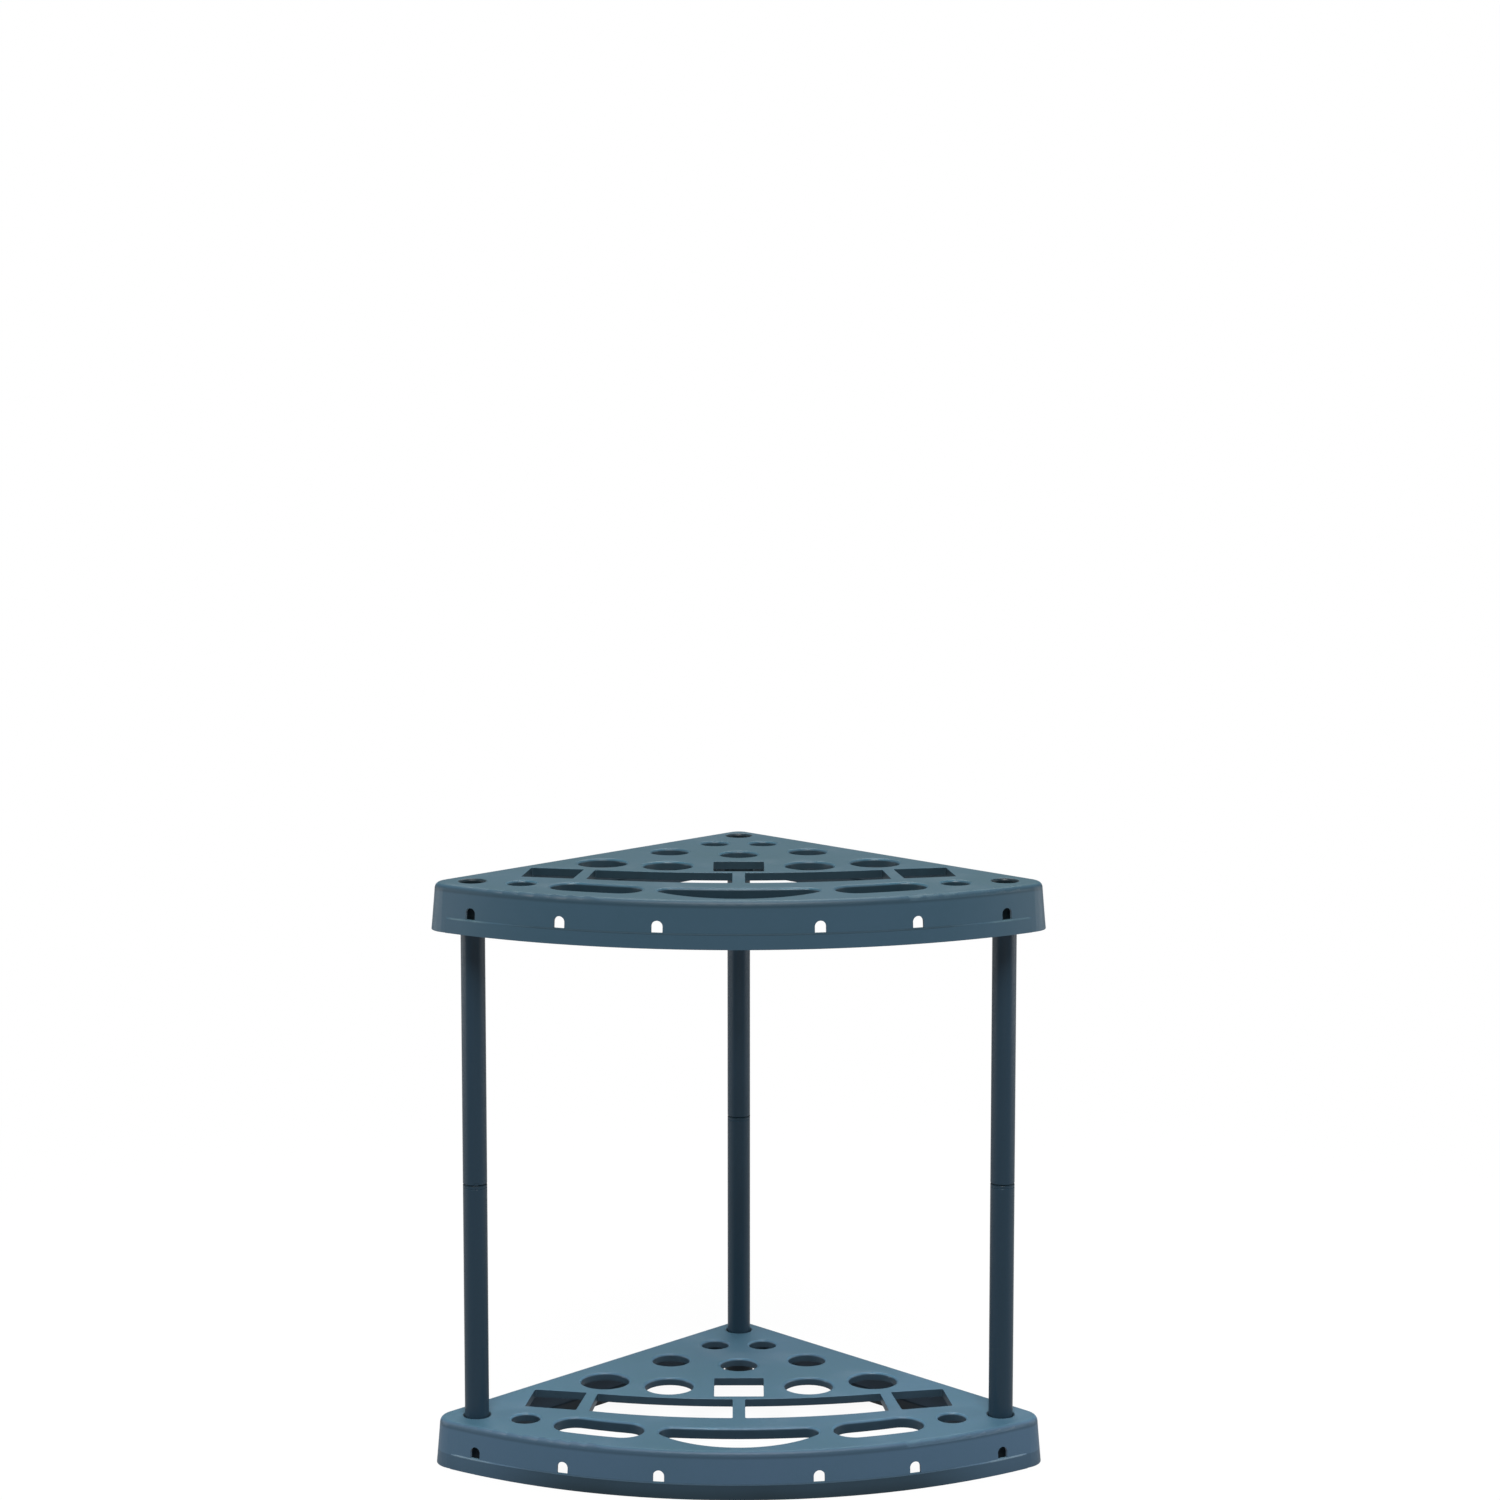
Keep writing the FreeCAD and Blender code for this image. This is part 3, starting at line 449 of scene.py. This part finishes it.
    def shade_and_highlight_ledge(self, painted_light_amount):
        """Painted shade darkens the ledge over the band in the middle, and a painted highlight
        makes it pale near the front corners.
        """
        ledge = self.band(self.height, LEDGE_START, LEDGE_END)
        shaded = self.fall(self.across, LEDGE_SHADE_FADE) * ledge * self.upright
        self.lay_tint(shaded * (0.8 + self.streak * 0.5) * painted_light_amount, WALL_AND_LEDGE_SHADE)
        self.sheen += shaded * 0.3
        highlighted = self.band(self.across, LEDGE_HIGHLIGHT_START, LEDGE_HIGHLIGHT_END) * ledge
        self.lay_tint(highlighted * (0.45 + self.streak) * painted_light_amount, *LEDGE_HIGHLIGHT)

    def shade_openings(self, painted_light_amount):
        """Painted shade darkens the openings' walls and the mouths of the sockets."""
        wall = self.fall(self.lean, WALL_LEAN) * self.inner
        self.lay_tint(wall * (1.1 + self.streak * 0.3) * painted_light_amount, WALL_AND_LEDGE_SHADE)
        mouth = self.fall(self.from_posts(), MOUTH_EDGE)
        self.lay_tint(mouth * painted_light_amount * 1.2, SOCKET_SHADE)

    def soil_joints(self):
        """Dirt settles in the groove where two tubes meet."""
        seam = self.fall(abs(self.height - JOINT), GROOVE_EDGE) * self.upright
        self.lay_tint(seam * 0.6, GROOVE_DIRT)

    def moulded(self, grain, grain_depth, gloss):
        """Add the fine grain and the slow ripple of a moulding, and return the material."""
        fine = self.add(
            "Bump", height=self.cells(self.place, grain, detail=1.0), distance=grain_depth,
            strength=0.5)
        rippled = self.add(
            "Bump", height=self.cells(self.flow, RIPPLE_CELL, detail=1.0),
            distance=RIPPLE_DEPTH, strength=0.25, normal=fine)
        return self.finish_with(self.add(
            "BsdfPrincipled", base_color=self.body, roughness=self.sheen, normal=rippled,
            ior=1.5, specular_ior_level=gloss))


def tray_plastic(props, tray, colour):
    """Plastic of one tray, with its wear and dust, and the painted shade and highlights of its
    place in the rack.
    """
    plastic = Plastic(
        tray + "_plastic", colour, props.tray_roughness, foot=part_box(tray)[0].z, stretch=EVEN)
    plastic.rub_and_highlight_roundings(props.tray_wear_and_highlight)
    plastic.shade_shoulder(props.painted_light_amount)
    plastic.settle_dust()
    # Only the tray on the floor gets painted shade along its foot
    if tray == TRAY_ON_FLOOR:
        plastic.shade_foot()
    plastic.shade_and_highlight_ledge(props.painted_light_amount)
    plastic.shade_openings(props.painted_light_amount)
    return plastic.moulded(props.grain, props.grain_depth, props.tray_gloss)


def tube_plastic(props):
    """Darker plastic of the tubes, drawn out lengthwise."""
    plastic = Plastic(
        "tube_plastic", props.tube_colour, props.tube_roughness, foot=0.0, stretch=DRAWN_OUT)
    plastic.rub_and_highlight_roundings(props.tube_wear_and_highlight)
    plastic.settle_dust()
    plastic.soil_joints()
    return plastic.moulded(props.grain, props.grain_depth, props.tube_gloss)


def dress(name, material):
    """Give a CAD node a material in place of the plain one."""
    slots = NODES[name].data.materials
    slots.clear()
    slots.append(material)


class RACK_OT_finish_trays(bpy.types.Operator):
    """Give the two trays their satin moulded plastic"""

    bl_idname = "rack.finish_trays"
    bl_label = "Finish the trays"

    def execute(self, context):
        props = context.scene.rack_plastic
        for tray, colour in zip(TRAYS, (props.lower_tray_colour, props.upper_tray_shaded_colour)):
            dress(tray, tray_plastic(props, tray, colour))
        return {"FINISHED"}


class RACK_OT_finish_tubes(bpy.types.Operator):
    """Give the six post tubes their darker plastic, drawn out lengthwise"""

    bl_idname = "rack.finish_tubes"
    bl_label = "Finish the tubes"

    def execute(self, context):
        material = tube_plastic(context.scene.rack_plastic)
        for tube in TUBES:
            dress(tube, material)
        return {"FINISHED"}


def floor_paper(props):
    """Paper that is white far out and keeps the shadow near the rack, with little bounce."""
    finish = Finish(bpy.data.materials.new("floor_paper"), "ShaderNodeOutputMaterial")
    place = finish.add("TexCoord", "Object")
    away = finish.add("VectorMath", "Value", {"operation": "LENGTH"}, vector=place)
    far = finish.rise(away, WHITE_FLOOR_EDGE)
    whiteness = props.floor_whiteness + far * (1.0 - props.floor_whiteness)
    paper = finish.add("BsdfDiffuse", color=grey(PAPER))
    white = finish.add("Emission", color=grey(1.0), strength=1.0)
    seen = finish.add("MixShader", fac=whiteness, shader=paper, shader_001=white)
    dim = finish.add("BsdfDiffuse", color=grey(PAPER_BOUNCE))
    mirror = finish.add("Emission", color=grey(1.0), strength=props.mirrored_floor)
    mirrored = finish.add("LightPath", "Is Glossy Ray")
    unseen = finish.add("MixShader", fac=mirrored, shader=dim, shader_001=mirror)
    path = finish.add("LightPath", "Is Camera Ray")
    return finish.finish_with(
        finish.add("MixShader", fac=path, shader=unseen, shader_001=seen))


def lay_floor(props):
    """Round floor under the rack."""
    bpy.ops.mesh.primitive_circle_add(
        vertices=96, radius=props.floor_radius, fill_type="NGON", location=(0, 0, 0))
    floor = bpy.context.object
    floor.name = "floor"
    floor.data.materials.append(floor_paper(props))


def light_room(scene, props):
    """Even light from all round, and a pale room where it is seen or mirrored."""
    scene.world = bpy.data.worlds.new("white_room")
    finish = Finish(scene.world, "ShaderNodeOutputWorld")
    seen = finish.add("LightPath", "Is Camera Ray")
    mirrored = finish.add("LightPath", "Is Glossy Ray")
    strength = (props.room_light + seen * (1.0 - props.room_light)
                + mirrored * (props.mirrored_light - props.room_light))
    finish.finish_with(finish.add("Background", color=grey(1.0), strength=strength))


def softbox(name, place, size, power):
    """Rectangular light that faces the middle of the rack."""
    place = Vector(place)
    bpy.ops.object.light_add(type="AREA", location=place)
    light = bpy.context.object
    light.name = name
    light.rotation_euler = (MIDDLE - place).to_track_quat("-Z", "Y").to_euler()
    light.data.shape = "RECTANGLE"
    light.data.size, light.data.size_y = size
    light.data.energy = power
    light.visible_camera = False


def hang_softboxes(props):
    """High softboxes in front and behind, a low strip in front, and upright strips at the sides."""
    softbox("key_light", place=(0.1, -2.9, 4.8), size=(2.4, 2.4), power=props.key_power)
    softbox("back_light", place=(0.2, 2.4, 4.2), size=(2.4, 2.4), power=props.back_power)
    softbox("front_light", place=(0.3, -2.4, 0.16), size=(2.6, 0.3), power=props.front_power)
    for side in (-1, 1):
        softbox("side_light", place=(side * 1.9, -0.3, 0.7), size=(0.5, 1.4),
                power=props.side_power)
        softbox("rim_light", place=(side * 2.2, 0.6, 0.6), size=(0.7, 1.4),
                power=props.rim_power)


def place_camera(scene, props):
    """Camera at the angle of the photograph."""
    bpy.ops.object.camera_add(
        location=props.camera_place,
        rotation=(math.pi / 2 - props.camera_pitch, 0, props.camera_turn))
    camera = bpy.context.object
    camera.name = "camera"
    camera.data.sensor_width = 36
    camera.data.lens = props.camera_lens
    camera.data.shift_y = props.camera_shift
    scene.camera = camera
    scene.view_settings.view_transform = "Standard"


class RACK_OT_stage(bpy.types.Operator):
    """Make the pale floor, the soft studio light and the camera"""

    bl_idname = "rack.stage"
    bl_label = "Set the stage"

    def execute(self, context):
        props = context.scene.rack_stage
        lay_floor(props)
        light_room(context.scene, props)
        hang_softboxes(props)
        place_camera(context.scene, props)
        return {"FINISHED"}


STEPS = (RACK_OT_finish_trays, RACK_OT_finish_tubes, RACK_OT_stage)


class RACK_PT_panel(bpy.types.Panel):
    """Sizes, colours and steps of the rack."""

    bl_idname = "RACK_PT_panel"
    bl_label = "Garden Tool Rack"
    bl_space_type = "VIEW_3D"
    bl_region_type = "UI"
    bl_category = "Tool Rack"

    def draw(self, context):
        """List every property, and a button for each step."""
        for group in (context.scene.rack_plastic, context.scene.rack_stage):
            box = self.layout.box()
            for name in type(group).__annotations__:
                box.prop(group, name)
        for step in STEPS:
            self.layout.operator(step.bl_idname)


CLASSES = (RackPlastic, RackStage, *STEPS, RACK_PT_panel)


def register():
    """Register the classes, and give each scene the two groups of properties."""
    for cls in CLASSES:
        bpy.utils.register_class(cls)
    bpy.types.Scene.rack_plastic = PointerProperty(type=RackPlastic)
    bpy.types.Scene.rack_stage = PointerProperty(type=RackStage)


def unregister():
    """Take the properties and the classes away again."""
    del bpy.types.Scene.rack_plastic
    del bpy.types.Scene.rack_stage
    for cls in reversed(CLASSES):
        bpy.utils.unregister_class(cls)


def main():
    """Finish the rack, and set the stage."""
    register()
    bpy.ops.rack.finish_trays()
    bpy.ops.rack.finish_tubes()
    bpy.ops.rack.stage()


if __name__ == "__main__":
    main()
